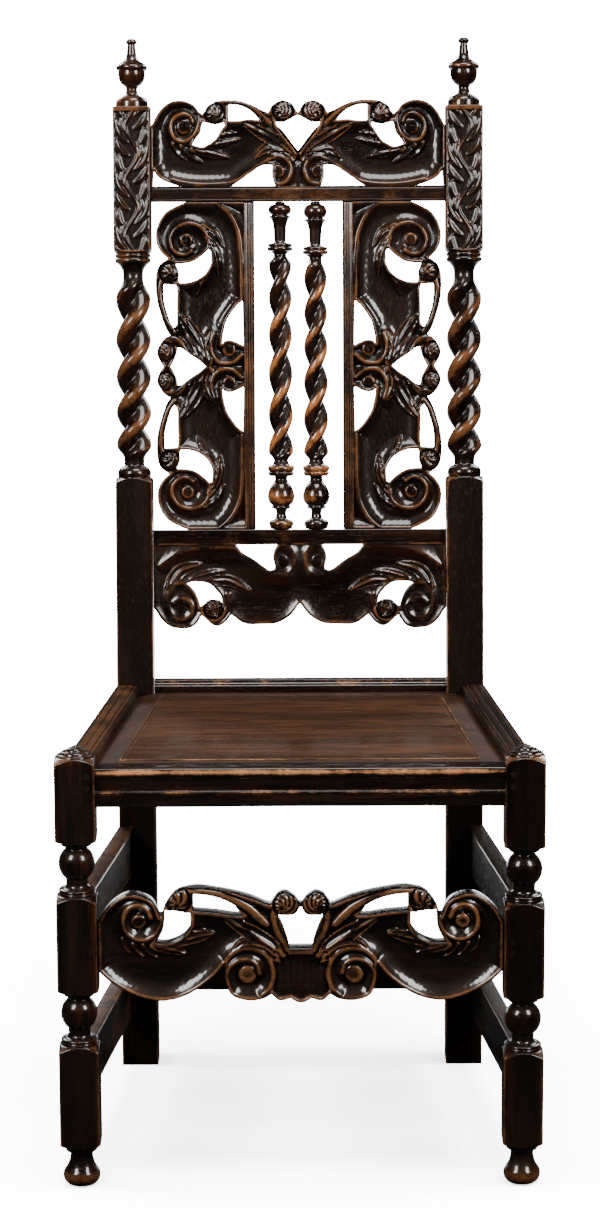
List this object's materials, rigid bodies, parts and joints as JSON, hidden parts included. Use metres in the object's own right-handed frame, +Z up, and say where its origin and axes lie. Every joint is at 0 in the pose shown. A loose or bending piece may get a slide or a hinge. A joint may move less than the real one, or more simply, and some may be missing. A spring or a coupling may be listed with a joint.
{
  "type": "wainscot chair",
  "caption": "High-back joined oak side chair: twist-turned posts with finials, pierced carved back, fielded panel seat, ball-turned front legs and box stretchers.",
  "frame": {"origin": "on the floor, under the middle of the chair's box", "axes": "+Z up, +X to the right as the picture shows the chair, -Y the way the sitter faces"},
  "size_m": [0.515, 0.5483, 1.2007],
  "materials": {
    "oak_dark": "gloss",
    "oak_carved": "gloss",
    "oak_worn": "gloss",
    "oak_panel": "satin",
    "oak_peg": "satin"
  },
  "bodies": {
    "root": {"front_leg_left": "oak_dark", "front_leg_right": "oak_dark", "rear_post_left": "oak_dark", "rear_post_right": "oak_dark", "finial_left": "oak_dark", "finial_right": "oak_dark", "seat_rail_front": "oak_worn", "seat_rail_rear": "oak_dark", "seat_rail_side_left": "oak_dark", "seat_rail_side_right": "oak_dark", "seat_panel": "oak_panel", "stretcher_front": "oak_carved", "stretcher_rear": "oak_dark", "stretcher_side_upper_left": "oak_dark", "stretcher_side_upper_right": "oak_dark", "stretcher_side_lower_left": "oak_dark", "stretcher_side_lower_right": "oak_dark", "crest_rail": "oak_carved", "lower_back_rail": "oak_carved", "splat_left": "oak_carved", "splat_right": "oak_carved", "spindle_left": "oak_carved", "spindle_right": "oak_carved", "oak_pegs": "oak_peg"}
  },
  "joints": []
}
